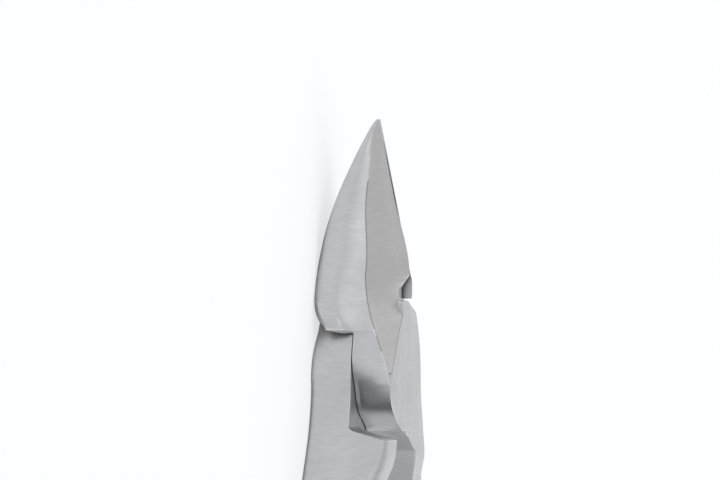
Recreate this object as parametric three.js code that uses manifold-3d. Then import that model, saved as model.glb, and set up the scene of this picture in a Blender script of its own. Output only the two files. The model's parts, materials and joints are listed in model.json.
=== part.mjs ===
// Nail nipper: a plier-type nail clipper with a lap joint, two leaf springs and a swing latch.
//
// Millimetres. The tool lies on its back. +X runs to the jaw tips, +Y is the way the upper
// half's jaw opens, and +Z is the cutting side. The shapes are worked out for closed jaws with
// the pivot axis on Z and the plane between the two laps at Z = 0; each half is then turned
// by half of the gap that the jaws stand open at rest.

import * as THREE from 'three';
import { mergeVertices } from 'three/addons/utils/BufferGeometryUtils.js';
import Module from 'manifold-3d';

const wasm = await Module();
wasm.setup();

// ---------------------------------------------------------------- driving dimensions

const edgeLength = 13.7; // cutting edge, from the tip to its heel
const headLength = 9.2; // heel of the cutting edge to the pivot axis
const handleLength = 95; // pivot axis to the end of a handle
const gripHalfGap = 17; // mid-plane to the inside of a handle at the grip
const endHalfGap = 4.6; // mid-plane to the inside of a handle at its end

const backLap = 3.6; // thickness of the lower half at the joint
const frontLap = 3.45; // thickness of the upper half at the joint
const lapRadius = 8.3; // round of each lap about the pivot
const tipWidth = 0.05; // mid-plane to a cheek at the very tip
const jawHalfWidth = 6.1; // mid-plane to a cheek at the heel of the edge
const tipHeight = 1.05; // cutting edge above the lap plane, at the tip
const heelHeight = 3.8; // cutting edge above the lap plane, at the heel
const heelTopHeight = 3.95; // crest behind the heel, above the lap plane
const facetSlope = 0.589; // fall of the front bevel for each millimetre outwards
const shoulderRounding = 0.8; // extra rounding of a jaw's back edge at its shoulder
const innerRelief = 0.5; // how far a jaw's inner face falls back below its edge

const rimRound = 0.45; // round of a lap's outer rim
const lapRelief = 1.75; // how far the lower lap's outer rim draws in beside the shoulder
const lapGap = 0.06; // between the two laps
const edgeGap = 0.04; // between the closed cutting edges
const seatClearance = 0.15; // round a lap in its seat
const lapTop = 6.95; // top of a lap beside the mid-plane, from the pivot axis
const heelGap = 0.65; // between a lap's top and the other jaw's heel
const heelSlit = 0.15; // the same for the lower jaw, beside the mid-plane
const heelStep = 1.3; // mid-plane to where the lower jaw's heel steps back to heelGap
const overlap = 1.5; // how far a lap runs into its own jaw, past the mid-plane
const stepBack = 4.35; // pivot axis to the step up to a handle, at the lap plane
const stepLean = 0.95; // how far that step leans back over a lap's thickness
const stepFillet = 0.4; // round in the corner of that step
const notchDepth = 0.7; // relief notch behind the upper half's edge, below its heel
const notchRamp = 1.1 / 1.9; // share of the notch's length that its slope takes
const notchReach = 0.3; // lap's top to the foot of the notch

const gripThickness = 6.2;
const endThickness = 5.5;
const handleWidth = 5.8; // width of a handle, in the plane of the tool

const screwRadius = 2.0;
const screwHeadRadius = 3.2;
const screwHeadHeight = 1.3;
const screwReach = 2.4; // how far the screw goes into the upper half
const fitGap = 0.06; // round a screw, rivet or stud in its hole
const slotWidth = 0.8;

const springThickness = 0.7;
const springWidth = 4.4;
const springRoot = 0.52; // place of a spring's screw, as a share of the handle's length
const springTip = 0.215; // place where the two spring tips cross, as the same share
const springScrewRadius = 1.1;
const springScrewHeadRadius = 2.1;
const springScrewHeadHeight = 1.0;
const springScrewReach = 3.0;
const springSlotWidth = 0.6;
const tongueWidth = 1.5;
const forkSlot = 2.1;

const latchInset = 4.6; // latch rivet to the end of the handle
const latchThickness = 1.0;
const latchWidth = 3.2;
const latchEyeRadius = 2.3;
const latchLift = 0.1; // above the handle, and below the rivet's head
const rivetRadius = 1.0;
const rivetHeadRadius = 1.8;
const rivetHeadHeight = 0.5;
const rivetReach = 3.0;
const studRadius = 0.85;
const studHeadRadius = 1.5;
const mouthRoom = 0.6; // how much wider the hook's mouth is than the stud
const hookFront = 2.6; // middle of the latch to the hook's open side
const hookBack = 2.4; // middle of the latch to the hook's closed side

const openAtRest = 2.5; // degrees between the halves at rest

const jawReach = edgeLength + headLength;
const seatRadius = lapRadius + seatClearance;
const far = 3 * handleLength; // large enough to reach past everything
const roundSides = 72;
const smallSides = 40;

const steel = { jaw: 0xc9c7c2, handle: 0xc4c3c0, bright: 0xd4d2cc, spring: 0xaeb2b6 };

// ---------------------------------------------------------------- tools for solids

const mix = (a, b, t) => a + (b - a) * t;
const clamp01 = (t) => Math.min(1, Math.max(0, t));

// A smooth curve through [place, value] points that never overshoots them.
function curveThrough(points) {
  const count = points.length;
  const slope = [];
  for (let i = 0; i + 1 < count; i += 1) {
    slope.push((points[i + 1][1] - points[i][1]) / (points[i + 1][0] - points[i][0]));
  }
  const tangent = points.map((_, i) => {
    if (i === 0) return slope[0];
    if (i === count - 1) return slope[count - 2];
    if (slope[i - 1] * slope[i] <= 0) return 0;
    return (2 * slope[i - 1] * slope[i]) / (slope[i - 1] + slope[i]);
  });
  return (place) => {
    let i = 0;
    while (i < count - 2 && place > points[i + 1][0]) i += 1;
    const span = points[i + 1][0] - points[i][0];
    const t = clamp01((place - points[i][0]) / span);
    const rise = points[i + 1][1] - points[i][1];
    return points[i][1] + t * t * (3 - 2 * t) * rise
      + span * (t * (1 - t) * (1 - t) * tangent[i] - t * t * (1 - t) * tangent[i + 1]);
  };
}

function solidOf(positions, indices) {
  return new wasm.Manifold(new wasm.Mesh({
    numProp: 3,
    vertProperties: new Float32Array(positions),
    triVerts: new Uint32Array(indices),
  }));
}

// A closed three.js geometry, placed by a matrix, as a solid.
function solid(geometry, matrix = new THREE.Matrix4()) {
  const bare = geometry.clone().applyMatrix4(matrix);
  bare.deleteAttribute('normal');
  bare.deleteAttribute('uv');
  const merged = mergeVertices(bare, 1e-4);
  return solidOf(merged.attributes.position.array, merged.index.array);
}

// A skin over closed rings of points, all with the same count, with a flat cap at each end.
function loft(rings) {
  const middle = (ring) => ring.reduce((sum, p) => sum.add(p), new THREE.Vector3())
    .divideScalar(ring.length);
  const run = middle(rings[rings.length - 1]).sub(middle(rings[0]));
  const turn = new THREE.Vector3();
  rings[0].forEach((p, k) => turn.add(p.clone().cross(rings[0][(k + 1) % rings[0].length])));
  const ordered = turn.dot(run) < 0 ? rings.map((ring) => [...ring].reverse()) : rings;
  const size = ordered[0].length;
  const indices = [];
  for (let i = 0; i + 1 < ordered.length; i += 1) {
    for (let k = 0; k < size; k += 1) {
      const next = (k + 1) % size;
      const [a, b] = [i * size + k, i * size + next];
      indices.push(a, b, b + size, a, b + size, a + size);
    }
  }
  const axis = ['x', 'y', 'z'].reduce((best, name) => (
    Math.abs(run[name]) > Math.abs(run[best]) ? name : best), 'x');
  const [u, v] = { x: ['y', 'z'], y: ['z', 'x'], z: ['x', 'y'] }[axis];
  const cap = (ring, first, facing) => {
    const flat = ring.map((p) => new THREE.Vector2(p[u], p[v]));
    THREE.ShapeUtils.triangulateShape(flat, []).forEach(([a, b, c]) => {
      const area = flat[b].clone().sub(flat[a]).cross(flat[c].clone().sub(flat[a]));
      const keep = area * facing > 0;
      indices.push(first + a, first + (keep ? b : c), first + (keep ? c : b));
    });
  };
  const facing = Math.sign(run[axis]);
  cap(ordered[0], 0, -facing);
  cap(ordered[ordered.length - 1], (ordered.length - 1) * size, facing);
  return solidOf(ordered.flat().flatMap((p) => [p.x, p.y, p.z]), indices);
}

// A flat outline in X and Y, made solid between two heights.
function slab(outline, low, high) {
  return loft([low, high].map((z) => outline.map(([x, y]) => new THREE.Vector3(x, y, z))));
}

function cylinderZ(radius, low, high, x = 0, y = 0, sides = smallSides) {
  const turn = new THREE.Matrix4().makeRotationX(Math.PI / 2);
  const place = new THREE.Matrix4().makeTranslation(x, y, (low + high) / 2);
  return solid(new THREE.CylinderGeometry(radius, radius, high - low, sides), place.multiply(turn));
}

function cylinderY(radius, low, high, x, z) {
  const place = new THREE.Matrix4().makeTranslation(x, (low + high) / 2, z);
  return solid(new THREE.CylinderGeometry(radius, radius, high - low, smallSides), place);
}

function box(low, high) {
  const size = low.map((value, i) => high[i] - value);
  const centre = low.map((value, i) => (value + high[i]) / 2);
  return solid(new THREE.BoxGeometry(...size), new THREE.Matrix4().makeTranslation(...centre));
}

// ---------------------------------------------------------------- jaws

// A place along the head: 0 at the tip, 1 at the edge's heel, 2 at the pivot axis.
const headPlace = (q) => (q <= 1 ? jawReach - q * edgeLength : headLength * (2 - q));

const lapShare = (share) => share * lapRadius;
const jawShare = (share) => share * jawHalfWidth;

// Crest of the bevel: the cutting edge, then the lap's flat front. On the lower half the crest
// runs on level behind the heel, until the upper half's lap begins.
const edgeKnots = [[0, tipHeight], [0.5, mix(tipHeight, heelHeight, 0.5)], [1, heelHeight]];
const crestOfUpper = curveThrough([...edgeKnots, [1.27, frontLap], [2.6, frontLap]]);
const crestOfLower = curveThrough([...edgeKnots, [1.06, heelTopHeight], [1.2, heelTopHeight],
  [1.4, frontLap], [2.6, frontLap]]);
// Width of the lap's flat front, from the mid-plane out to the bevel.
const flatWidth = curveThrough([
  [0, 0.05], [1.26, 0.05], [1.41, lapShare(0.24)], [1.58, lapShare(0.49)],
  [1.75, lapShare(0.69)], [1.88, lapShare(0.86)], [2, lapShare(0.96)],
  [2.1, lapShare(0.955)], [2.23, lapShare(0.86)], [2.36, lapShare(0.58)], [2.5, lapShare(0.16)],
]);
// The ridge between the front bevel and the cheek.
const ridgeWidth = curveThrough([
  [0, tipWidth], [0.11, jawShare(0.15)], [0.285, jawShare(0.32)],
  [0.51, jawShare(0.54)], [0.715, jawShare(0.69)], [0.88, jawShare(0.79)],
  [1, jawShare(0.85)], [1.2, lapShare(0.69)], [1.41, lapShare(0.8)], [1.6, lapShare(0.885)],
  [1.8, lapShare(0.97)], [2, lapShare(0.99)], [2.1, lapShare(0.975)],
  [2.23, lapShare(0.875)], [2.36, lapShare(0.6)], [2.5, lapShare(0.18)],
]);
const ridgeDrop = curveThrough([
  [1, heelHeight - 0.85 * jawHalfWidth * facetSlope], [1.2, 0.29 * frontLap],
  [1.41, 0.455 * frontLap], [1.61, 0.66 * frontLap], [1.8, 0.86 * frontLap],
  [1.95, 0.965 * frontLap], [2.05, 0.985 * frontLap], [2.6, 0.985 * frontLap],
]);
// The cheek where it crosses the lap plane, at mid-height below it, and at the back.
const waistWidth = curveThrough([
  [0, 1.2 * tipWidth], [0.11, jawShare(0.18)], [0.285, jawShare(0.36)],
  [0.51, jawShare(0.59)], [0.715, jawShare(0.75)], [0.88, jawShare(0.87)],
  [1, jawShare(0.93)], [1.2, lapShare(0.765)], [1.41, lapShare(0.865)],
  [1.58, lapShare(0.905)], [1.8, lapShare(0.96)], [1.88, lapShare(0.93)],
  [1.96, lapShare(0.865)], [2.04, lapShare(0.785)], [2.12, lapShare(0.715)], [2.245, lapShare(0.62)],
  [2.35, lapShare(0.4)], [2.43, lapShare(0.16)], [2.5, lapShare(0.1)],
]);
const cheekWidth = curveThrough([
  [0, 1.3 * tipWidth], [0.11, jawShare(0.2)], [0.285, jawShare(0.39)],
  [0.51, jawShare(0.63)], [0.715, jawShare(0.81)], [0.88, jawShare(0.93)],
  [1, jawShare(1.02)], [1.2, lapShare(0.86)], [1.41, lapShare(0.92)],
  [1.58, lapShare(0.91)], [1.8, lapShare(0.97)], [2, lapShare(0.985)],
  [2.1, lapShare(0.97)], [2.23, lapShare(0.87)], [2.36, lapShare(0.59)], [2.5, lapShare(0.17)],
]);
const backHeight = curveThrough([
  [0, tipHeight - 2 * tipWidth], [0.03, 0.62], [0.11, 0.1],
  [0.263, -0.24 * backLap], [0.518, -0.61 * backLap], [0.777, -0.875 * backLap],
  [1, -0.99 * backLap], [1.08, -backLap], [2.6, -backLap],
]);

// Section of a jaw and its shank at one place along the head, for the +Y side. Towards the
// shoulder the back edge of the cheek rounds off.
function headSection(q, crestHeight) {
  const x = headPlace(q);
  const inDisc = q > 1.5 && x > 0 ? Math.sqrt(lapRadius ** 2 - x ** 2) : far;
  const crest = crestHeight(q);
  const ridge = Math.min(ridgeWidth(q), inDisc);
  const ridgeHeight = q < 1 ? crest - facetSlope * ridge : ridgeDrop(q);
  const flat = Math.min(flatWidth(q), ridge - 0.02);
  const rounding = shoulderRounding * clamp01((q - 1.2) / 0.24) ** 2;
  const back = backHeight(q) + 0.45 * rounding;
  const waistShare = mix(0.2, ridgeHeight / (ridgeHeight - back), clamp01((q - 1) / 0.2));
  const waistHeight = ridgeHeight + (back - ridgeHeight) * waistShare;
  const waist = Math.min(waistWidth(q), inDisc);
  const cheek = Math.min(cheekWidth(q), inDisc);
  const radius = Math.min(0.9 + rounding, 0.22 * (ridgeHeight - back) + rounding, 0.4 * cheek);
  const points = [[edgeGap / 2, crest], [edgeGap / 2 + flat, crest]];
  points.push([mix(edgeGap / 2 + flat, ridge, 0.5), mix(crest, ridgeHeight, 0.48)]);
  const side = new THREE.CatmullRomCurve3([
    [ridge, ridgeHeight], [waist, waistHeight],
    [cheek, mix(waistHeight, back + radius, 0.6)], [cheek - 0.12 * radius, back + radius],
  ].map(([y, z]) => new THREE.Vector3(0, y, z)));
  side.getPoints(7).forEach((p) => points.push([p.y, p.z]));
  for (let i = 1; i <= 3; i += 1) {
    const angle = (i / 3) * (Math.PI / 2);
    points.push([
      cheek - 0.12 * radius - radius * (1 - Math.cos(angle)),
      back + radius * (1 - Math.sin(angle)),
    ]);
  }
  const relief = Math.min(innerRelief, 0.3 * cheek) * (1 - clamp01((q - 1.2) / 0.2));
  points.push([edgeGap / 2 + relief, back]);
  points.push([edgeGap / 2 + 0.8 * relief, mix(crest, back, 0.5)]);
  return points.map(([y, z]) => new THREE.Vector3(x, y, z));
}

// The jaw with its shank, from the tip to the bottom of the lap. side is +1 or -1 along Y.
function head(side, crestHeight) {
  const stations = 52;
  const rings = [];
  for (let i = 0; i <= stations; i += 1) {
    const q = 2.49 * (i / stations) ** 1.12;
    rings.push(headSection(q, crestHeight).map((p) => new THREE.Vector3(p.x, side * p.y, p.z)));
  }
  return loft(rings);
}

// ---------------------------------------------------------------- laps

// One lap, with its own handle on the +Y side. outer is the height of its outside face.
function lap(outer, topRelief) {
  const inner = Math.sign(outer) * lapGap / 2;
  const ring = (height, share, inset) => {
    const points = [[lapTop, -overlap]];
    for (let degrees = 0; degrees <= 20; degrees += 5) {
      const angle = THREE.MathUtils.degToRad(degrees);
      points.push([lapTop * Math.cos(angle), lapTop * Math.sin(angle)]);
    }
    for (let degrees = 44; degrees <= 90; degrees += 2) {
      const angle = THREE.MathUtils.degToRad(degrees);
      const reach = lapRadius - inset
        - share * topRelief * (1 - Math.cos(Math.PI * (90 - degrees) / 46)) / 2;
      points.push([reach * Math.cos(angle), reach * Math.sin(angle)]);
    }
    points.push([-0.2 * lapRadius, 0.9 * lapRadius], [-0.8 * lapRadius, 0.66 * lapRadius]);
    points.push([-0.76 * lapRadius, 0.46 * lapRadius], [-0.68 * lapRadius, 0.26 * lapRadius]);
    points.push([-0.6 * lapRadius, 0.07 * lapRadius], [-0.52 * lapRadius, -0.12 * lapRadius]);
    points.push([-0.3 * lapRadius, -overlap]);
    return points.map(([x, y]) => new THREE.Vector3(x, y, height));
  };
  const round = Math.sign(outer) * rimRound;
  return loft([
    ring(inner, 0, 0), ring(mix(inner, outer, 0.5), 0.45, 0), ring(outer - round, 0.8, 0),
    ring(outer - 0.3 * round, 0.95, 0.3 * rimRound), ring(outer, 1, rimRound),
  ]);
}

// What the other half's lap turns in: its seat, open below the jaw's heel.
function seat(low, high) {
  return cylinderZ(seatRadius, low, high, 0, 0, roundSides)
    .intersect(box([-far, -far, low], [lapTop + heelGap, far, high]));
}

// ---------------------------------------------------------------- handles

// Places along the grip, as shares of the handle's length, with the half gap between the
// handles there and the width of the handle.
const grip = [
  [0.17, 0.69 * gripHalfGap, 1.04], [0.23, 0.84 * gripHalfGap, 1.02], [0.32, 0.95 * gripHalfGap, 1],
  [0.45, gripHalfGap, 1], [0.575, gripHalfGap, 1], [0.65, mix(endHalfGap, gripHalfGap, 0.965), 0.98],
  [0.72, mix(endHalfGap, gripHalfGap, 0.85), 0.96], [0.8, mix(endHalfGap, gripHalfGap, 0.635), 0.93],
  [0.9, mix(endHalfGap, gripHalfGap, 0.31), 0.9], [1, endHalfGap, 0.88],
];
const insideOfHandle = curveThrough([
  [0, 2.5], [0.4 * lapRadius, 3], [0.5 * lapRadius, 3.9], [0.6 * lapRadius, 4.3],
  [0.77 * lapRadius, 4.9], [1.02 * lapRadius, 6.7], [1.45 * lapRadius, 9.5],
  ...grip.map(([share, gap]) => [share * handleLength, gap]),
]);
const outsideOfHandle = curveThrough([
  [0, lapRadius], [0.17 * lapRadius, 1.01 * lapRadius], [0.4 * lapRadius, 1.08 * lapRadius],
  [0.61 * lapRadius, 1.18 * lapRadius], [0.75 * lapRadius, 1.28 * lapRadius],
  [0.91 * lapRadius, 1.4 * lapRadius], [1.08 * lapRadius, 1.53 * lapRadius],
  [1.45 * lapRadius, 1.14 * lapRadius + handleWidth],
  ...grip.map(([share, gap, width]) => [share * handleLength, gap + width * handleWidth]),
]);
const middleOfHandle = (distance) => (insideOfHandle(distance) + outsideOfHandle(distance)) / 2;
const topOfHandle = curveThrough([
  [0, frontLap], [0.82 * lapRadius, frontLap], [1.15 * lapRadius, frontLap - 0.6],
  [1.8 * lapRadius, gripThickness - backLap + 0.1], [0.3 * handleLength, gripThickness - backLap],
  [0.6 * handleLength, gripThickness - backLap], [0.72 * handleLength, endThickness - backLap],
  [handleLength, endThickness - backLap],
]);

// A quarter of an ellipse from one point to another, round a corner.
function corner(from, to, steps) {
  const points = [];
  for (let i = 0; i <= steps; i += 1) {
    const angle = (i / steps) * (Math.PI / 2);
    points.push([
      mix(from[0], to[0], from[2] ? 1 - Math.cos(angle) : Math.sin(angle)),
      mix(from[1], to[1], from[2] ? Math.sin(angle) : 1 - Math.cos(angle)),
    ]);
  }
  return points;
}

function handleSection(distance) {
  const width = outsideOfHandle(distance) - insideOfHandle(distance);
  const endShare = clamp01((distance - handleLength + 0.5 * width) / (0.5 * width));
  const kept = Math.max(0.12, Math.sqrt(1 - endShare ** 2));
  const middle = middleOfHandle(distance);
  const near = middle - kept * width / 2;
  const away = middle + kept * width / 2;
  const top = topOfHandle(distance);
  const grow = clamp01((distance - 1.2 * lapRadius) / (1.5 * lapRadius));
  const step = clamp01((distance - stepBack) / stepBack);
  const over = kept * mix(0.5, 1.9, step);
  const down = kept * mix(0.4, 1.3, step);
  const low = kept * mix(0.6, 1.5, grow);
  const soft = kept * mix(0.25, 0.8, grow);
  const points = [
    ...corner([near + soft, -backLap, false], [near, -backLap + soft], 3),
    ...corner([near, top - soft, true], [near + soft, top], 3),
    ...corner([away - over, top, false], [away, top - down], 5),
    ...corner([away, -backLap + low, true], [away - low, -backLap], 4),
  ];
  return points.map(([y, z]) => new THREE.Vector3(-distance, y, z));
}

// A handle on the +Y or -Y side, from the joint to its rounded end.
function handle(side) {
  const places = [];
  for (let i = 0; i <= 16; i += 1) places.push((i / 16) * 1.6 * lapRadius);
  const start = 1.6 * lapRadius;
  const roundEnd = handleLength - 0.44 * handleWidth;
  for (let i = 1; i <= 30; i += 1) places.push(mix(start, roundEnd, i / 30));
  for (let i = 1; i <= 7; i += 1) {
    places.push(mix(roundEnd, handleLength, Math.sin((i / 7) * (Math.PI / 2))));
  }
  return loft(places.map((distance) => (
    handleSection(distance).map((p) => new THREE.Vector3(p.x, side * p.y, p.z)))));
}

// The space over a handle's root that the other half's lap turns in.
function stepSpace(side, outer) {
  const inner = -Math.sign(outer) * lapGap / 2;
  const reach = 2 * outer;
  const lean = stepLean * (reach - inner) / outer;
  const up = Math.sign(outer) * stepFillet;
  const ring = (y) => [
    [-stepBack + stepFillet, inner], [far, inner], [far, reach], [-stepBack - lean, reach],
    [-stepBack - stepFillet * stepLean / Math.abs(outer), inner + up],
    [-stepBack + 0.11 * stepFillet, inner + 0.4 * up], [-stepBack + 0.45 * stepFillet, inner + 0.09 * up],
  ].map(([x, z]) => new THREE.Vector3(x, y, z));
  return loft([ring(side * -0.6), ring(side * far)]);
}

// ---------------------------------------------------------------- places of fasteners

const screwHeadLow = -backLap + 0.1;
const springRootAt = springRoot * handleLength;
const springMiddle = -backLap + gripThickness / 2;
const latchAt = handleLength - latchInset;
const latchAcross = middleOfHandle(latchAt);
const handleEndTop = endThickness - backLap;
const latchLow = handleEndTop + latchLift;
const latchHigh = latchLow + latchThickness;
const latchSpan = 2 * latchAcross;

const springHole = (side) => {
  const inside = insideOfHandle(springRootAt);
  const [low, high] = [side * (inside - 1), side * (inside + springScrewReach + 0.3)];
  return cylinderY(springScrewRadius + fitGap, Math.min(low, high), Math.max(low, high),
    -springRootAt, springMiddle);
};

// ---------------------------------------------------------------- the two halves

function upperHalf() {
  const notchStart = headPlace(1) - 0.05;
  const notchFloor = heelHeight - notchDepth;
  const notchEnd = lapTop + notchReach;
  const rampFoot = notchStart - notchRamp * (notchStart - notchEnd);
  const notchOutline = [
    [notchStart, heelHeight + 2], [notchStart, heelHeight], [rampFoot, notchFloor],
    [notchEnd, notchFloor], [lapTop - 0.2, frontLap], [lapTop - 0.2, heelHeight + 2],
  ];
  const notch = loft([-0.3, lapRadius].map((y) => (
    notchOutline.map(([x, z]) => new THREE.Vector3(x, y, z)))));
  const plate = lap(frontLap, 0).transform([1, 0, 0, 0, 0, -1, 0, 0, 0, 0, 1, 0, 0, 0, 0, 1]);
  return head(1, crestOfUpper).subtract(seat(-far, lapGap / 2)).subtract(notch)
    .add(plate)
    .add(handle(-1).subtract(stepSpace(-1, -backLap)))
    .subtract(cylinderZ(screwRadius + fitGap, -far, screwReach + 0.2))
    .subtract(springHole(-1))
    .subtract(cylinderZ(studRadius + fitGap, handleEndTop - rivetReach, far, -latchAt, -latchAcross));
}

function lowerHalf() {
  const heelLip = box([lapTop + heelSlit, -heelStep, -far], [far, heelStep, far]);
  return head(-1, crestOfLower).subtract(seat(-lapGap / 2, far).subtract(heelLip))
    .add(lap(-backLap, lapRelief))
    .add(handle(1).subtract(stepSpace(1, frontLap)))
    .subtract(cylinderZ(screwRadius + fitGap, -far, far))
    .subtract(cylinderZ(screwHeadRadius + fitGap, -far, screwHeadLow + screwHeadHeight + fitGap))
    .subtract(springHole(1))
    .subtract(cylinderZ(rivetRadius + fitGap, handleEndTop - rivetReach, far, -latchAt, latchAcross));
}

// ---------------------------------------------------------------- fasteners

function pivotScrew() {
  const slotDepth = 0.6;
  return cylinderZ(screwHeadRadius, screwHeadLow, screwHeadLow + screwHeadHeight, 0, 0, roundSides)
    .add(cylinderZ(screwRadius, screwHeadLow + 0.5, screwReach))
    .subtract(box([-far, -slotWidth / 2, -far], [far, slotWidth / 2, screwHeadLow + slotDepth]));
}

function springScrew(side) {
  const inside = insideOfHandle(springRootAt);
  const underHead = [-springScrewHeadRadius, springScrewHeadRadius].map(springAcross);
  const headFoot = Math.min(...underHead) - springThickness / 2 - fitGap;
  const span = (from, to) => [Math.min(side * from, side * to), Math.max(side * from, side * to)];
  const head = cylinderY(springScrewHeadRadius,
    ...span(headFoot - springScrewHeadHeight, headFoot), -springRootAt, springMiddle);
  const shank = cylinderY(springScrewRadius,
    ...span(headFoot - 0.5, inside + springScrewReach), -springRootAt, springMiddle);
  const [low, high] = span(headFoot - springScrewHeadHeight - 1, headFoot - springScrewHeadHeight + 0.4);
  const slot = box([-springRootAt - far, low, springMiddle - springSlotWidth / 2],
    [-springRootAt + far, high, springMiddle + springSlotWidth / 2]);
  return head.add(shank).subtract(slot);
}

function latchRivet() {
  return cylinderZ(rivetHeadRadius, latchHigh + latchLift, latchHigh + latchLift + rivetHeadHeight,
    -latchAt, latchAcross)
    .add(cylinderZ(rivetRadius, handleEndTop - rivetReach + 0.2, latchHigh + latchLift + 0.2,
      -latchAt, latchAcross));
}

function lockStud() {
  return cylinderZ(studHeadRadius, latchHigh + latchLift, latchHigh + latchLift + rivetHeadHeight,
    -latchAt, -latchAcross)
    .add(cylinderZ(studRadius, handleEndTop - rivetReach + 0.2, latchHigh + latchLift + 0.2,
      -latchAt, -latchAcross));
}

// ---------------------------------------------------------------- springs

// Middle line of a leaf spring on the +Y side, by the way travelled from its screw towards the
// joint: flat on the handle at its root, then in to the mid-plane, where the two tips cross.
const springSeat = (travel) => (
  insideOfHandle(springRootAt - travel) - fitGap - springThickness / 2);
const springFlat = springSeat(0);
const springTravel = (springRoot - springTip) * handleLength;
const springTail = 3.4; // past the screw, away from the joint
const springFoot = 2.6; // past the screw, towards the joint, where the leaf leaves the handle
const springCrossing = 1.5; // past the mid-plane
const springAcross = curveThrough([
  [-springTail, springSeat(-springTail)], [springFoot, springSeat(springFoot)],
  [0.2 * springTravel, 0.955 * springFlat],
  [0.45 * springTravel, 0.76 * springFlat], [0.72 * springTravel, 0.42 * springFlat],
  [springTravel - springCrossing, springCrossing], [springTravel + springCrossing, -springCrossing],
]);

function leafSpring(side, forked) {
  const steps = 44;
  const [outside, inside] = [[], []];
  for (let i = 0; i <= steps; i += 1) {
    const travel = mix(-springTail, springTravel + springCrossing, i / steps);
    const x = travel - springRootAt;
    const y = springAcross(travel);
    const slope = (springAcross(travel + 0.01) - springAcross(travel - 0.01)) / 0.02;
    const run = 1 / Math.hypot(1, slope);
    const half = springThickness * mix(0.5, 0.34, clamp01((i / steps - 0.3) / 0.7));
    outside.push([x - slope * run * half, side * (y + run * half)]);
    inside.push([x + slope * run * half, side * (y - run * half)]);
  }
  const low = springMiddle - springWidth / 2;
  const high = springMiddle + springWidth / 2;
  const leaf = slab([...outside, ...inside.reverse()], low, high)
    .subtract(cylinderY(springScrewRadius + 0.15, side * springFlat - 3, side * springFlat + 3,
      -springRootAt, springMiddle));
  const from = side > 0 ? -far : -2.3;
  const to = side > 0 ? 2.3 : far;
  if (forked) {
    return leaf.subtract(box([-far, from, springMiddle - forkSlot / 2],
      [far, to, springMiddle + forkSlot / 2]));
  }
  return leaf
    .subtract(box([-far, from, low - 1], [far, to, springMiddle - tongueWidth / 2]))
    .subtract(box([-far, from, springMiddle + tongueWidth / 2], [far, to, high + 1]));
}

// ---------------------------------------------------------------- latch

// The latch, drawn from its rivet along +X. The hook opens towards -Y.
function lockLatch() {
  const mouth = 2 * studRadius + mouthRoom;
  const tip = latchSpan + mouth / 2 + 1.2;
  const bar = slab([
    [0, -latchWidth / 2], [latchSpan - 1.6, -latchWidth / 2], [latchSpan - 1.6, latchWidth / 2],
    [0, latchWidth / 2],
  ], latchLow, latchHigh);
  const hookOutline = [[latchSpan - 3, -latchWidth / 2]];
  hookOutline.push([latchSpan - 2.2, -hookFront], [tip - 0.9, -hookFront], [tip, -1.7], [tip, 1.2]);
  hookOutline.push([tip - 0.5, 2], [tip - 1.4, hookBack], [latchSpan - 1.4, hookBack]);
  hookOutline.push([latchSpan - 3, latchWidth / 2]);
  return bar.add(cylinderZ(latchEyeRadius, latchLow, latchHigh))
    .add(slab(hookOutline, latchLow, latchHigh))
    .subtract(cylinderZ(rivetRadius + 0.1, -far, far))
    .subtract(cylinderZ(mouth / 2, -far, far, latchSpan, 0))
    .subtract(box([latchSpan - mouth / 2, -far, -far], [latchSpan + mouth / 2, 0, far]));
}

// ---------------------------------------------------------------- assembly

function mesh(name, shape, colour, roughness) {
  const { vertProperties, triVerts } = shape.getMesh();
  const geometry = new THREE.BufferGeometry();
  geometry.setAttribute('position', new THREE.BufferAttribute(vertProperties, 3));
  geometry.setIndex(new THREE.BufferAttribute(triVerts, 1));
  const piece = new THREE.Mesh(geometry, new THREE.MeshStandardMaterial({
    color: colour, roughness, metalness: 1,
  }));
  piece.name = name;
  return piece;
}

const halfTurn = THREE.MathUtils.degToRad(openAtRest / 2);

const upper = new THREE.Group();
upper.rotation.z = halfTurn;
upper.add(
  mesh('upper_half', upperHalf(), steel.jaw, 0.38),
  mesh('pivot_screw', pivotScrew(), steel.bright, 0.3),
  mesh('upper_spring', leafSpring(-1, false), steel.spring, 0.3),
  mesh('upper_spring_screw', springScrew(-1), steel.bright, 0.3),
  mesh('lock_stud', lockStud(), steel.bright, 0.3),
);

const latch = new THREE.Group();
latch.position.set(-latchAt, latchAcross, 0);
const latchRestX = 0.17 * handleLength;
const latchRestAcross = middleOfHandle(latchAt - latchRestX);
latch.rotation.z = Math.atan2(latchRestAcross - latchAcross, latchRestX);
latch.add(mesh('lock_latch', lockLatch(), steel.handle, 0.32));

const lower = new THREE.Group();
lower.rotation.z = -halfTurn;
lower.add(
  mesh('lower_half', lowerHalf(), steel.jaw, 0.38),
  mesh('lower_spring', leafSpring(1, true), steel.spring, 0.3),
  mesh('lower_spring_screw', springScrew(1), steel.bright, 0.3),
  mesh('latch_rivet', latchRivet(), steel.bright, 0.3),
  latch,
);

const tool = new THREE.Group();
tool.add(lower, upper);

// The origin is the middle of the underside of the whole tool.
const nipper = new THREE.Group();
nipper.add(tool);
nipper.updateMatrixWorld(true);
const extent = new THREE.Box3().setFromObject(nipper, true);
tool.position.set(
  -(extent.min.x + extent.max.x) / 2, -(extent.min.y + extent.max.y) / 2, -extent.min.z,
);
nipper.updateMatrixWorld(true);

export default nipper;
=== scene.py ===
# %% [markdown]
# # A plier-type nail clipper
# The tool is two steel forgings that cross at a pivot screw, two leaf springs that push the
# handles apart, and a small latch that holds them closed. The forgings, springs and latch take
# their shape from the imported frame, because their fit matters. The screws, rivet and stud are
# turned parts, so they are modelled here the way a lathe would make them.

# %% Load the frame
import json
import math

import bpy
from mathutils import Matrix, Vector


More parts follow.
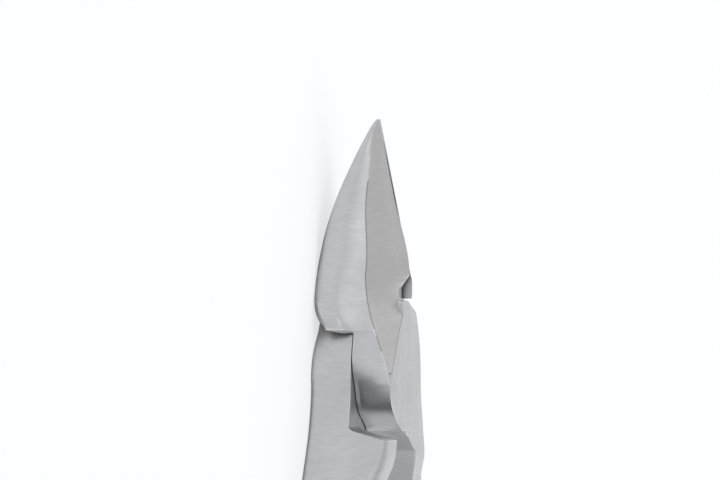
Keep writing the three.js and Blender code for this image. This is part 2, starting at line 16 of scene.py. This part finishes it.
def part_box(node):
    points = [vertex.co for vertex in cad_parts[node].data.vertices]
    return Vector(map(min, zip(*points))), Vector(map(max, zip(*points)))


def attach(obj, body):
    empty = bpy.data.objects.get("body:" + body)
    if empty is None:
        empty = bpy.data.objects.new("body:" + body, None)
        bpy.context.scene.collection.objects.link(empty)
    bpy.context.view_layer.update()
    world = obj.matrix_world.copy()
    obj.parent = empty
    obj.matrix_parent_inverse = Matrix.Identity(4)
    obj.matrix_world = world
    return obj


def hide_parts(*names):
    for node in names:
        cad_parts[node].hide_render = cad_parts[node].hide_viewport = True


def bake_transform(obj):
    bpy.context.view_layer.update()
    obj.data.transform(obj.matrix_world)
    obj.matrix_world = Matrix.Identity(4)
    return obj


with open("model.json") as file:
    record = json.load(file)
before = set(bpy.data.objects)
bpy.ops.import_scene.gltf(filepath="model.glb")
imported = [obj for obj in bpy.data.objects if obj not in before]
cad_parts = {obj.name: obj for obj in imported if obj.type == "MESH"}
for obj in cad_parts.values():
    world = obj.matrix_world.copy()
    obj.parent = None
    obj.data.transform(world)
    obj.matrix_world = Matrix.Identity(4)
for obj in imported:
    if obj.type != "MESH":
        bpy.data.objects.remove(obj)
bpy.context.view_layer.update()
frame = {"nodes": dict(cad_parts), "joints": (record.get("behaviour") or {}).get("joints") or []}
joints = {joint["name"]: joint for joint in frame["joints"]}
pivot = Vector(joints["jaw_pivot"]["pos_m"])
half_open = math.radians(-joints["jaw_pivot"]["range_deg"][0] / 2)
mm = 0.001
print("pivot", [round(v, 5) for v in pivot], "half open", round(math.degrees(half_open), 2))

# %% [markdown]
# ## Camera
# The head is seen from the side of one jaw, with the jaws upright and a little of the cutting
# side showing. The camera could stand close, but a near view makes the nearer jaw look bigger, so
# it stands half a metre off with a long lens, which keeps the two jaws the same size.

# %% Camera
camera_rise = math.radians(10)
camera_distance = 0.5
view_width = 63.4 * mm
film_width = 36
ahead_of_pivot = 12.25 * mm
under_lap_plane = 0.67 * mm
aim = pivot + Vector((ahead_of_pivot, 0, -under_lap_plane))

towards_camera = Vector((0, math.cos(camera_rise), math.sin(camera_rise)))
camera_right = Vector((0, -math.sin(camera_rise), math.cos(camera_rise)))
camera_up = Vector((1, 0, 0))

lens = bpy.data.cameras.new("camera")
lens.sensor_width = film_width
lens.lens = film_width * camera_distance / view_width
camera = bpy.data.objects.new("camera", lens)
bpy.context.scene.collection.objects.link(camera)
facing = Matrix((camera_right, camera_up, towards_camera)).transposed().to_4x4()
facing.translation = aim + towards_camera * camera_distance
camera.matrix_world = facing
bpy.context.scene.camera = camera
bpy.context.scene.view_settings.view_transform = "Standard"
print("lens", round(lens.lens, 1), "mm")

# %% [markdown]
# ## Helpers
# An operator acts on whatever is selected, so each step first selects one piece and nothing else.
# A finished piece has its place in its mesh, as the frame's own nodes do.

# %% Helpers
def select_only(piece):
    bpy.ops.object.select_all(action="DESELECT")
    piece.select_set(True)
    bpy.context.view_layer.objects.active = piece


def apply_modifier(piece, modifier):
    select_only(piece)
    bpy.ops.object.modifier_apply(modifier=modifier.name)


def settle(piece):
    select_only(piece)
    bpy.ops.object.transform_apply(location=True, rotation=True, scale=True)


def recalculate_normals(piece, merge=0.002 * mm):
    select_only(piece)
    bpy.ops.object.mode_set(mode="EDIT")
    bpy.ops.mesh.select_all(action="SELECT")
    bpy.ops.mesh.remove_doubles(threshold=merge)
    bpy.ops.mesh.normals_make_consistent(inside=False)
    bpy.ops.object.mode_set(mode="OBJECT")


def smooth(piece, degrees=30):
    select_only(piece)
    bpy.ops.object.shade_smooth_by_angle(angle=math.radians(degrees))


# %% [markdown]
# ## Steel
# Every piece is stainless steel, and what tells them apart is how each was finished. Grinding
# leaves fine parallel lines, and tumbling leaves an even satin. Both are the same idea: a noise
# that is stretched along the lines, used for the colour, the roughness and a shallow bump. A
# second, broad noise gives the cloudiness of handled metal, and a third picks out scratches. In
# the joint's narrow gaps the colour is darkened where the steel is closed in, as painted shade.

# %% A steel finish
def link(tree, source, target):
    tree.links.new(source, target)


def noise(tree, coordinates, scale, detail):
    mapping = tree.nodes.new("ShaderNodeMapping")
    mapping.inputs["Scale"].default_value = scale
    link(tree, coordinates, mapping.inputs["Vector"])
    texture = tree.nodes.new("ShaderNodeTexNoise")
    texture.inputs["Scale"].default_value = 1.0
    texture.inputs["Detail"].default_value = detail
    link(tree, mapping.outputs["Vector"], texture.inputs["Vector"])
    return texture.outputs["Fac"]


def spread(tree, value, low, high, low_out, high_out):
    node = tree.nodes.new("ShaderNodeMapRange")
    node.inputs["From Min"].default_value = low
    node.inputs["From Max"].default_value = high
    node.inputs["To Min"].default_value = low_out
    node.inputs["To Max"].default_value = high_out
    link(tree, value, node.inputs["Value"])
    return node.outputs["Result"]


def blend_colour(tree, factor, first, second):
    node = tree.nodes.new("ShaderNodeMix")
    node.data_type = "RGBA"
    link(tree, factor, node.inputs["Factor"])
    for socket, colour in ((node.inputs[6], first), (node.inputs[7], second)):
        if isinstance(colour, tuple):
            socket.default_value = (*colour, 1)
        else:
            link(tree, colour, socket)
    return node.outputs[2]


cloud_scale = (170, 230, 230)
scratch_scale = (420, 5200, 2600)
bump_strength = 0.5
crevice_reach = 3.0 * mm
crevice_samples = 8
# the dark colour of the painted shade in the joint's narrow gaps
painted_crevice_shade = (0.10, 0.094, 0.088)


def steel(name, dark, light, line_scale, roughness, depth):
    material = bpy.data.materials.new(name)
    material.use_nodes = True
    tree = material.node_tree
    shader = tree.nodes["Principled BSDF"]
    shader.inputs["Metallic"].default_value = 1.0
    place = tree.nodes.new("ShaderNodeTexCoord").outputs["Object"]
    lines = noise(tree, place, line_scale, 4)
    clouds = noise(tree, place, cloud_scale, 3)
    scratches = noise(tree, place, scratch_scale, 2)

    tone = blend_colour(tree, spread(tree, lines, 0.3, 0.7, 0, 1), dark, light)
    cloudy = spread(tree, clouds, 0.35, 0.7, 0, 0.35)
    tone = blend_colour(tree, cloudy, tone, tuple(0.9 * value for value in dark))
    marked = spread(tree, scratches, 0.68, 0.78, 0, 0.5)
    tone = blend_colour(tree, marked, tone, tuple(min(1, 1.06 * value) for value in light))
    # painted shade: the base colour is mixed towards a dark colour where ambient occlusion finds the
    # steel closed in
    crevice = tree.nodes.new("ShaderNodeAmbientOcclusion")
    crevice.samples = crevice_samples
    crevice.inputs["Distance"].default_value = crevice_reach
    tone = blend_colour(tree, spread(tree, crevice.outputs["AO"], 0.04, 0.42, 0, 1), painted_crevice_shade, tone)
    link(tree, tone, shader.inputs["Base Color"])
    link(tree, spread(tree, clouds, 0.3, 0.7, *roughness), shader.inputs["Roughness"])

    bump = tree.nodes.new("ShaderNodeBump")
    bump.inputs["Strength"].default_value = bump_strength
    bump.inputs["Distance"].default_value = depth
    link(tree, lines, bump.inputs["Height"])
    link(tree, bump.outputs["Normal"], shader.inputs["Normal"])
    return material


# %% [markdown]
# ## Seven finishes
# The forgings are tumbled to a satin, the front bevels are ground across, and handling rubs the
# edges bright; their lighter tone is partly wear and partly a painted highlight. A fine darker
# line, painted shade, runs where the bevel meets the cheek. Each finish could be a material of its
# own, but they differ only in tone, in how their lines run and in gloss, so one function makes them
# all. Its values are the darkest and the lightest tone, the scale of the lines along each axis, the
# range of the roughness and the depth of the lines.

# %% The finishes
satin = steel("satin_forging", (0.525, 0.53, 0.54), (0.60, 0.605, 0.615),
              (6800, 900, 900), (0.42, 0.50), 0.003 * mm)
ground = steel("ground_bevel", (0.575, 0.57, 0.575), (0.65, 0.645, 0.647),
               (11000, 700, 700), (0.34, 0.42), 0.003 * mm)
# a lighter tone on the rounded edges: partly rubbed wear, partly a painted highlight
edge = steel("edge_wear_and_highlight", (0.66, 0.66, 0.67), (0.74, 0.74, 0.745),
             (5200, 900, 900), (0.24, 0.32), 0.002 * mm)
# painted shade: the dark colour of the narrow chamfer along the ridge
ridge = steel("painted_shade_ridge", (0.30, 0.30, 0.30), (0.38, 0.38, 0.38),
              (5200, 900, 900), (0.40, 0.50), 0.002 * mm)
turned_steel = steel("turned_screw", (0.64, 0.63, 0.61), (0.74, 0.73, 0.71),
                     (5200, 5200, 5200), (0.20, 0.30), 0.003 * mm)
blue_spring = steel("spring_strip", (0.50, 0.52, 0.55), (0.61, 0.63, 0.66),
                    (420, 420, 9000), (0.24, 0.34), 0.004 * mm)
pressed = steel("pressed_latch", (0.58, 0.58, 0.575), (0.68, 0.68, 0.675),
                (700, 7400, 700), (0.28, 0.38), 0.004 * mm)
print("finishes", [m.name for m in (satin, ground, edge, ridge, turned_steel, blue_spring, pressed)])

# %% [markdown]
# ## The forgings
# Each half is jaw, lap and handle in one. Its shape is the frame's, so the mesh is copied and
# its loose triangles are merged. Real edges are never perfectly sharp: a narrow bevel catches the
# light, and because the bevel's faces take their own lighter material, the edges look rubbed bright,
# which is partly wear and partly a painted highlight.
# Slivers beside the frame's cuts are merged first. Clamping is off, because one short edge would
# otherwise shrink the bevel everywhere. Instead an edge is bevelled only where its faces have
# room, which leaves the needle point alone, and the area that was bevelled is printed as a check.
# Only outward corners are rounded. Rounding an inside corner would add metal and narrow the small
# gap that the two halves turn in, and on a real tool wear doesn't reach into a corner either.

# %% Copy a node and round its edges
edge_round = 0.06 * mm
fine_round = 0.04 * mm
sharp = math.radians(31)
sliver = 0.012 * mm
least_room = 2.5


def copy_of(node, name, finishes):
    mesh = frame["nodes"][node].data.copy()
    piece = bpy.data.objects.new(name, mesh)
    bpy.context.scene.collection.objects.link(piece)
    select_only(piece)
    if mesh.has_custom_normals:
        bpy.ops.mesh.customdata_custom_splitnormals_clear()
    recalculate_normals(piece, sliver)
    mesh.materials.clear()
    for finish in finishes:
        mesh.materials.append(finish)
    for face in mesh.polygons:
        face.material_index = 0
    return piece


def has_room(face, mesh, width):
    """A face that is too narrow would fold over itself if its edges were bevelled."""
    longest = max(
        (mesh.vertices[a].co - mesh.vertices[b].co).length for a, b in face.edge_keys)
    return 2 * face.area / longest > least_room * width


def edges_with_room(mesh, width, wanted):
    """Edges for which wanted(edge, its two faces) is true and both faces have room."""
    sides = {}
    for face in mesh.polygons:
        for key in face.edge_keys:
            sides.setdefault(key, []).append(face)
    found = []
    for e in mesh.edges:
        faces = sides[tuple(sorted(e.vertices))]
        if len(faces) == 2 and wanted(e, faces) and all(has_room(f, mesh, width) for f in faces):
            found.append(e)
    return found


def bevel_edges(piece, edges, width, segments, material_index):
    mesh = piece.data
    old = mesh.attributes.get("bevel_weight_edge")
    if old:
        mesh.attributes.remove(old)
    chosen = [e.index for e in edges]
    weight = mesh.attributes.new("bevel_weight_edge", "FLOAT", "EDGE")
    for index in chosen:
        weight.data[index].value = 1.0
    bevel = piece.modifiers.new("edges", "BEVEL")
    bevel.width = width
    bevel.segments = segments
    bevel.limit_method = "WEIGHT"
    bevel.use_clamp_overlap = False
    bevel.material = material_index
    apply_modifier(piece, bevel)


def area_of(piece, material_index):
    faces = [face for face in piece.data.polygons if face.material_index == material_index]
    return round(sum(face.area for face in faces) / mm ** 2, 2)


def round_edges(piece, width, material_index):
    def is_outward_corner(e, faces):
        first, second = faces
        outward = (second.center - first.center).dot(first.normal) < 0
        return outward and first.normal.angle(second.normal, 0) > sharp

    corners = edges_with_room(piece.data, width, is_outward_corner)
    # the rounded edges take the lighter edge finish, partly wear and partly a painted highlight
    bevel_edges(piece, corners, width, 2, material_index)
    smooth(piece)
    print(piece.name, len(piece.data.polygons), "faces, edges", area_of(piece, material_index), "mm2")


# %% [markdown]
# ## The front bevel and its ridge
# The bevel is ground after forging, so it has its own finish and meets the cheek in a crisp line. It
# could be a separate piece, but it is one surface of the forging, so its faces are found instead:
# they are ahead of the pivot, on the front of their own jaw, and they lean between the flat of the
# lap and the upright of the cheek. A narrow chamfer along their border makes the line real
# geometry, and its dark colour is painted shade. It stops short of the tip, where the faces are too
# narrow to cut.

# %% The two halves
bevel_start = pivot.x + 0.6 * mm
off_middle = 0.02 * mm
steepest = 0.55
flattest = 0.985
clear_of_middle = 0.25 * mm
ridge_end = pivot.x + 17.6 * mm
ridge_width = 0.06 * mm


def is_front_bevel(face, side):
    own_side = face.center.y * side > off_middle and face.center.z > pivot.z
    return own_side and face.center.x > bevel_start and steepest < face.normal.z < flattest


def cut_ridge(piece):
    """A narrow chamfer along the line where the bevel meets the cheek."""
    mesh = piece.data

    def on_ridge(e, faces):
        ends = [mesh.vertices[v].co for v in e.vertices]
        away = min(abs(end.y) for end in ends) > clear_of_middle
        below_tip = max(end.x for end in ends) < ridge_end
        return away and below_tip and {f.material_index for f in faces} == {0, 1}

    # the chamfer takes finish 3, whose dark colour is a painted shade line
    bevel_edges(piece, edges_with_room(mesh, ridge_width, on_ridge), ridge_width, 1, 3)
    print(piece.name, "ridge", area_of(piece, 3), "mm2")


def keep_crisp(piece):
    """The bevel keeps its sharp outline where it meets the cheek and the ridge's chamfer."""
    finishes = {}
    for face in piece.data.polygons:
        for key in face.edge_keys:
            finishes.setdefault(key, set()).add(face.material_index)
    for e in piece.data.edges:
        if finishes[tuple(sorted(e.vertices))] in ({0, 3}, {1, 3}, {0, 1}):
            e.use_edge_sharp = True


def forging(node, name, body, side):
    piece = copy_of(node, name, (satin, ground, edge, ridge))
    for face in piece.data.polygons:
        if is_front_bevel(face, side):
            face.material_index = 1
    cut_ridge(piece)
    round_edges(piece, edge_round, 2)
    keep_crisp(piece)
    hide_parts(node)
    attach(piece, body)
    return piece


forging("lower_half", "lower_forging", "lower", -1)
forging("upper_half", "upper_forging", "upper", 1)

# %% [markdown]
# ## The leaf springs
# Each spring is a steel strip, bent to shape and held on one handle by a screw. One tip is a fork
# and the other a tongue, and the two interlock. A spring could be bent here from a straight strip,
# but it has to meet its seat and its partner, so it keeps the frame's shape and gets a finer
# rounding.


def leaf(node, name):
    piece = copy_of(node, name, (blue_spring, edge))
    round_edges(piece, fine_round, 1)
    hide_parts(node)
    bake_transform(piece)


leaf("lower_spring", "forked_spring")
leaf("upper_spring", "tongued_spring")

# %% [markdown]
# ## The latch
# The latch is pressed from sheet, swings on its rivet and hooks round the stud to hold the handles
# closed. It could be drawn as an outline and extruded, but where the hook lands decides whether it
# holds, so the frame's own outline is kept and its edges are rounded as a press leaves them.

# %% The latch
latch = copy_of("lock_latch", "latch_plate", (pressed, edge))
round_edges(latch, edge_round, 1)
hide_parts("lock_latch")
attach(latch, "latch")

# %% [markdown]
# ## Turned parts
# A lathe makes a screw as a row of rings about one axis. The same is done here: a disc is added,
# and each next ring is extruded from the last and scaled about the axis. A step of no height makes
# the flat under a head.

# %% Turn a piece from its rings
def turned(name, rings):
    (height, radius), *others = rings
    bpy.ops.object.select_all(action="DESELECT")
    bpy.ops.mesh.primitive_circle_add(vertices=72, radius=radius, fill_type="NGON",
                                      location=(0, 0, height))
    piece = bpy.context.object
    piece.name = name
    settle(piece)
    bpy.ops.object.mode_set(mode="EDIT")
    bpy.ops.mesh.select_all(action="SELECT")
    for next_height, next_radius in others:
        rise = (0, 0, next_height - height)
        bpy.ops.mesh.extrude_region_move(TRANSFORM_OT_translate={"value": rise})
        share = next_radius / radius
        bpy.ops.transform.resize(value=(share, share, 1), center_override=(0, 0, next_height))
        height, radius = next_height, next_radius
    bpy.ops.object.mode_set(mode="OBJECT")
    recalculate_normals(piece)
    return piece


near_middle = 0.92  # a dome's last ring stops just short of the axis
cutter_length = 20 * mm


def dome(radius, top, drop, steps=6):
    """Rings of a low dome, from its rim to near its middle."""
    rings = []
    for step in range(steps + 1):
        angle = (math.pi / 2) * step / steps * near_middle
        rings.append((top - drop * (1 - math.sin(angle)), radius * math.cos(angle)))
    return rings


def cut_slot(piece, width, low, high):
    bpy.ops.object.select_all(action="DESELECT")
    bpy.ops.mesh.primitive_cube_add(size=1, location=(0, 0, (low + high) / 2))
    cutter = bpy.context.object
    cutter.scale = (cutter_length, width, high - low)
    settle(cutter)
    cut = piece.modifiers.new("slot", "BOOLEAN")
    cut.operation = "DIFFERENCE"
    cut.solver = "EXACT"
    cut.object = cutter
    apply_modifier(piece, cut)
    bpy.data.objects.remove(cutter)


def finish_turned(piece, node, body):
    piece.data.materials.append(turned_steel)
    piece.data.materials.append(edge)
    settle(piece)
    round_edges(piece, fine_round, 1)
    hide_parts(node)
    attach(piece, body)


# %% [markdown]
# ## The pivot screw
# The pivot screw has a broad slotted head that lies flush in the back of the tool, and the halves
# turn on its shank. It could be two cylinders joined, but a lathe's rings also give the small
# chamfers round the head, and the slot is then cut across it as a mill would cut it.

# %% The pivot screw
low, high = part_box("pivot_screw")
screw_head = 3.2 * mm
screw_shank = 2.0 * mm
head_height = 1.3 * mm
length = high.z - low.z
screw = turned("pivot_screw_turned", [
    (0, screw_head - 0.34 * mm), (0.09 * mm, screw_head - 0.12 * mm), (0.26 * mm, screw_head),
    (head_height, screw_head), (head_height, screw_shank), (length, screw_shank),
])
cut_slot(screw, 0.8 * mm, -mm, 0.6 * mm)
screw.rotation_euler = (0, 0, half_open)
screw.location = ((low.x + high.x) / 2, (low.y + high.y) / 2, low.z)
finish_turned(screw, "pivot_screw", "upper")

# %% [markdown]
# ## The spring screws
# Each spring is held by a small screw with a domed, slotted head. The two are one design, so one
# function turns a screw and lays it square to its handle, which leans by half the opening.

# %% The spring screws
def spring_screw(node, name, body, side):
    low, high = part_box(node)
    head = 2.1 * mm
    shank = 1.1 * mm
    height = 1.0 * mm
    reach = high.y - low.y
    crown = [(height - z, radius) for z, radius in reversed(dome(head, height, 0.55 * mm))]
    piece = turned(name, [*crown, (height, head), (height, shank), (reach, shank)])
    cut_slot(piece, 0.6 * mm, -mm, 0.4 * mm)
    outer = low.y if side > 0 else high.y
    piece.rotation_euler = (-side * math.pi / 2, 0, -side * half_open)
    piece.location = ((low.x + high.x) / 2, outer, (low.z + high.z) / 2)
    finish_turned(piece, node, body)


spring_screw("lower_spring_screw", "lower_spring_screw_turned", "lower", 1)
spring_screw("upper_spring_screw", "upper_spring_screw_turned", "upper", -1)

# %% [markdown]
# ## The rivet and the stud
# The rivet and the stud stand up from the handles' ends. The rivet is closed over the latch, so
# its head is a low dome. The stud's head is smaller and flatter, for the latch to slip under. Both
# are a pin with a head, so one function makes them from the pin's and the head's radius.

# %% The rivet and the stud
def headed_pin(node, name, body, pin, head, drop):
    low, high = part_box(node)
    length = high.z - low.z
    height = 0.5 * mm
    under = length - height
    piece = turned(name, [(0, pin), (under, pin), (under, head), *dome(head, length, drop)])
    piece.location = ((low.x + high.x) / 2, (low.y + high.y) / 2, low.z)
    finish_turned(piece, node, body)


headed_pin("latch_rivet", "latch_rivet_turned", "lower", 1.0 * mm, 1.8 * mm, 0.42 * mm)
headed_pin("lock_stud", "lock_stud_turned", "upper", 0.85 * mm, 1.5 * mm, 0.25 * mm)

# %% [markdown]
# ## The floor
# The tool lies on a pale floor. A plain white plane would go grey away from the lamps, so this one
# also glows faintly, as a light table does, which keeps it even and its shadows faint.

# %% Floor
floor_size = 8
floor_glow = 0.71
bpy.ops.object.select_all(action="DESELECT")
bpy.ops.mesh.primitive_plane_add(size=floor_size, location=(0, 0, 0))
floor = bpy.context.object
floor.name = "floor"
pale = bpy.data.materials.new("pale_floor")
pale.use_nodes = True
pale_shader = pale.node_tree.nodes["Principled BSDF"]
pale_shader.inputs["Base Color"].default_value = (0.30, 0.302, 0.308, 1)
pale_shader.inputs["Roughness"].default_value = 0.9
pale_shader.inputs["Emission Color"].default_value = (0.975, 0.98, 1, 1)
pale_shader.inputs["Emission Strength"].default_value = floor_glow
floor.data.materials.append(pale)
print("floor", floor_size, "m, glow", floor_glow)

# %% [markdown]
# ## The room
# Bare steel shows its surroundings more than its own colour, so the room is part of the finish. It
# could be lit by many lamps, but a plain gradient is calmer. It is lightest on one side of the
# tool, darker on the other and darkest overhead, and that separates the bevel from the cheek.

# %% Room
world = bpy.data.worlds.new("studio")
bpy.context.scene.world = world
world.use_nodes = True
room = world.node_tree
background = room.nodes["Background"]
direction = room.nodes.new("ShaderNodeTexCoord").outputs["Generated"]
split = room.nodes.new("ShaderNodeSeparateXYZ")
link(room, direction, split.inputs["Vector"])
overhead = spread(room, split.outputs["Z"], 0.25, 0.95, 0, 1)
window_side = spread(room, split.outputs["Y"], -0.6, 0.6, 0, 1)
walls = blend_colour(room, window_side, (0.97, 0.975, 0.985), (0.74, 0.745, 0.755))
link(room, blend_colour(room, overhead, walls, (0.66, 0.66, 0.665)), background.inputs["Color"])
background.inputs["Strength"].default_value = 1.0
print("room", world.name)

# %% [markdown]
# ## The lights
# Two broad lamps stand high on opposite sides. Small lamps would leave hard bright spots on steel,
# so each is half a metre across, and both are turned to face the pivot.

# %% Lights
def soft_light(name, place, size, power):
    lamp = bpy.data.lights.new(name, "AREA")
    lamp.energy = power
    lamp.size = size
    light = bpy.data.objects.new(name, lamp)
    bpy.context.scene.collection.objects.link(light)
    light.location = place
    light.rotation_euler = (pivot - Vector(place)).to_track_quat("-Z", "Y").to_euler()


lamp_size = 0.5
soft_light("key", (0.35, 0.45, 0.50), lamp_size, 0.62)
soft_light("fill", (-0.35, -0.45, 0.50), lamp_size, 0.6)
